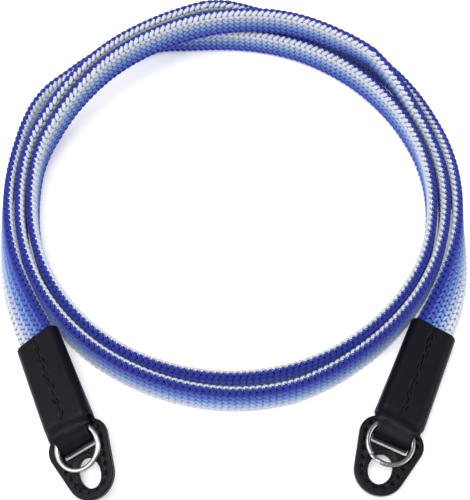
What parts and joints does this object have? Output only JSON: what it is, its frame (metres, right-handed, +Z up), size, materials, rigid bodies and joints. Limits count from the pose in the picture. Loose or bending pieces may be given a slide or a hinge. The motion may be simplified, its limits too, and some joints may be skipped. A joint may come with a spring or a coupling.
{
  "type": "coiled camera strap",
  "caption": "Flat knitted camera strap lying on its edge in a loose coil, with black leather sleeve ends, split rings and stitched leather protector pads.",
  "frame": {"origin": "middle of the part's footprint, at the height of its lowest point", "axes": "+Z up from the surface it lies on, -Y towards the leather ends, +X to the right when seen from the leather ends"},
  "size_m": [0.1498, 0.1698, 0.0249],
  "materials": {
    "knit": "tubular jersey knit, shaded in lengthwise stripes from royal blue through sky blue and lavender to white",
    "leather": "smooth black full-grain leather with a soft sheen, sewn with black thread",
    "nickel": "bright nickel-plated spring wire"
  },
  "bodies": {
    "root": {"strap": "knit", "left_sleeve": "leather", "right_sleeve": "leather", "left_pad": "leather", "right_pad": "leather", "left_split_ring": "nickel", "right_split_ring": "nickel"}
  },
  "joints": []
}
